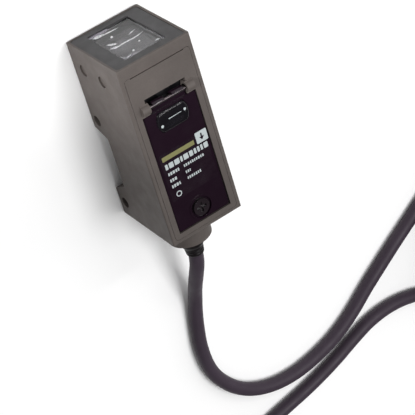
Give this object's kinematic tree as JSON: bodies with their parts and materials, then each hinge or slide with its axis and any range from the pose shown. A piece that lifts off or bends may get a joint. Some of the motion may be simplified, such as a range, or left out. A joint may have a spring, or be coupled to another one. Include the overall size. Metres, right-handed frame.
{
  "type": "photoelectric sensor",
  "caption": "Metal-cased through-beam photoelectric receiver with a square lens window, hinged control cover, side mounting holes and a pre-wired cable.",
  "frame": {"origin": "centre of the footprint of the case, boss and bushing, on the plane of the back feet that the sensor lies on; the free cable is not counted", "axes": "+Z out of the control cover, +Y towards the lens end, +X to the right when looking at the cover with the lens end at the top"},
  "size_m": [0.1676, 0.1715, 0.0289],
  "materials": {
    "case_paint": "satin warm grey paint on die-cast metal",
    "bezel_black": "matt moulded",
    "cover_black": "glossy moulded",
    "cover_smoke": "smoked clear moulding",
    "window_clear": "clear polished",
    "lens_clear": "clear polished",
    "black_plastic": "matt moulded",
    "rubber_black": "soft matt",
    "bushing_black": "soft satin",
    "steel": "bright",
    "screw_black": "black plated",
    "tinplate": "bright tinned",
    "brass": "machined",
    "board_green": "solder mask",
    "chip_black": "moulded epoxy",
    "ceramic_tan": "fired ceramic",
    "capacitor_silver": "satin sleeve",
    "led_green": "tinted epoxy",
    "led_red": "tinted epoxy",
    "rotor_ivory": "satin moulded",
    "trimmer_blue": "moulded",
    "switch_grey": "moulded",
    "label_black": "printed film",
    "print_white": "ink on film",
    "jacket_grey": "satin PVC jacket",
    "wire_brown": "PVC",
    "wire_blue": "PVC",
    "wire_black": "PVC",
    "tinned_copper": "solder tinned"
  },
  "bodies": {
    "case": {"housing": "case_paint", "front_frame": "case_paint", "case_gasket": "rubber_black", "case_screws": "steel", "lens_bezel": "bezel_black", "window_gasket": "rubber_black", "lens_window": "window_clear", "lens": "lens_clear", "lens_holder": "black_plastic", "aperture_plate": "tinplate", "photodiode": "chip_black", "optical_board": "board_green", "shield_can": "tinplate", "board_header": "brass", "main_board": "board_green", "main_ic": "chip_black", "small_components": "ceramic_tan", "filter_capacitor": "capacitor_silver", "output_transistor": "chip_black", "stability_led": "led_green", "light_led": "led_red", "control_plate": "black_plastic", "thread_insert": "brass", "sensitivity_trimmer": "trimmer_blue", "mode_switch": "switch_grey", "output_switch": "switch_grey", "hinge_pin": "steel", "cover_gasket": "rubber_black", "cable_bushing": "bushing_black", "cable_clamp": "steel", "cable_entry": "jacket_grey", "brown_wire": "wire_brown", "blue_wire": "wire_blue", "black_wire": "wire_black", "cable": "jacket_grey", "cable_coil": "jacket_grey", "coil_tie": "black_plastic", "cable_tail": "jacket_grey", "brown_lead": "wire_brown", "blue_lead": "wire_blue", "black_lead": "wire_black", "lead_tips": "tinned_copper"},
    "cover": {"control_cover": "cover_black", "cover_window": "cover_smoke", "rating_label": "label_black", "arrow_sticker": "print_white"},
    "captive_screw": {"cover_screw": "screw_black", "screw_oring": "rubber_black"},
    "sensitivity_rotor": {"sensitivity_adjuster": "rotor_ivory"},
    "mode_rotor": {"mode_selector": "rotor_ivory"},
    "output_rotor": {"output_selector": "rotor_ivory"}
  },
  "joints": [
    {"name": "cover_hinge", "type": "hinge", "parent": "case", "child": "cover", "pos_m": [0, 0.0222, 0.0273], "axis": [-1, 0, 0], "range_deg": [0, 110]},
    {"name": "cover_screw_turn", "type": "hinge", "parent": "cover", "child": "captive_screw", "pos_m": [0, -0.014, 0.0265], "axis": [0, 0, 1], "continuous": true},
    {"name": "sensitivity_adjuster_turn", "type": "hinge", "parent": "case", "child": "sensitivity_rotor", "pos_m": [-0.0042, 0.0066, 0.0217], "axis": [0, 0, 1], "range_deg": [-120, 120]},
    {"name": "mode_selector_turn", "type": "hinge", "parent": "case", "child": "mode_rotor", "pos_m": [0.0042, 0.0066, 0.0217], "axis": [0, 0, 1], "range_deg": [0, 90]},
    {"name": "output_selector_turn", "type": "hinge", "parent": "case", "child": "output_rotor", "pos_m": [0.0042, -0.0032, 0.0217], "axis": [0, 0, 1], "range_deg": [0, 90]}
  ]
}
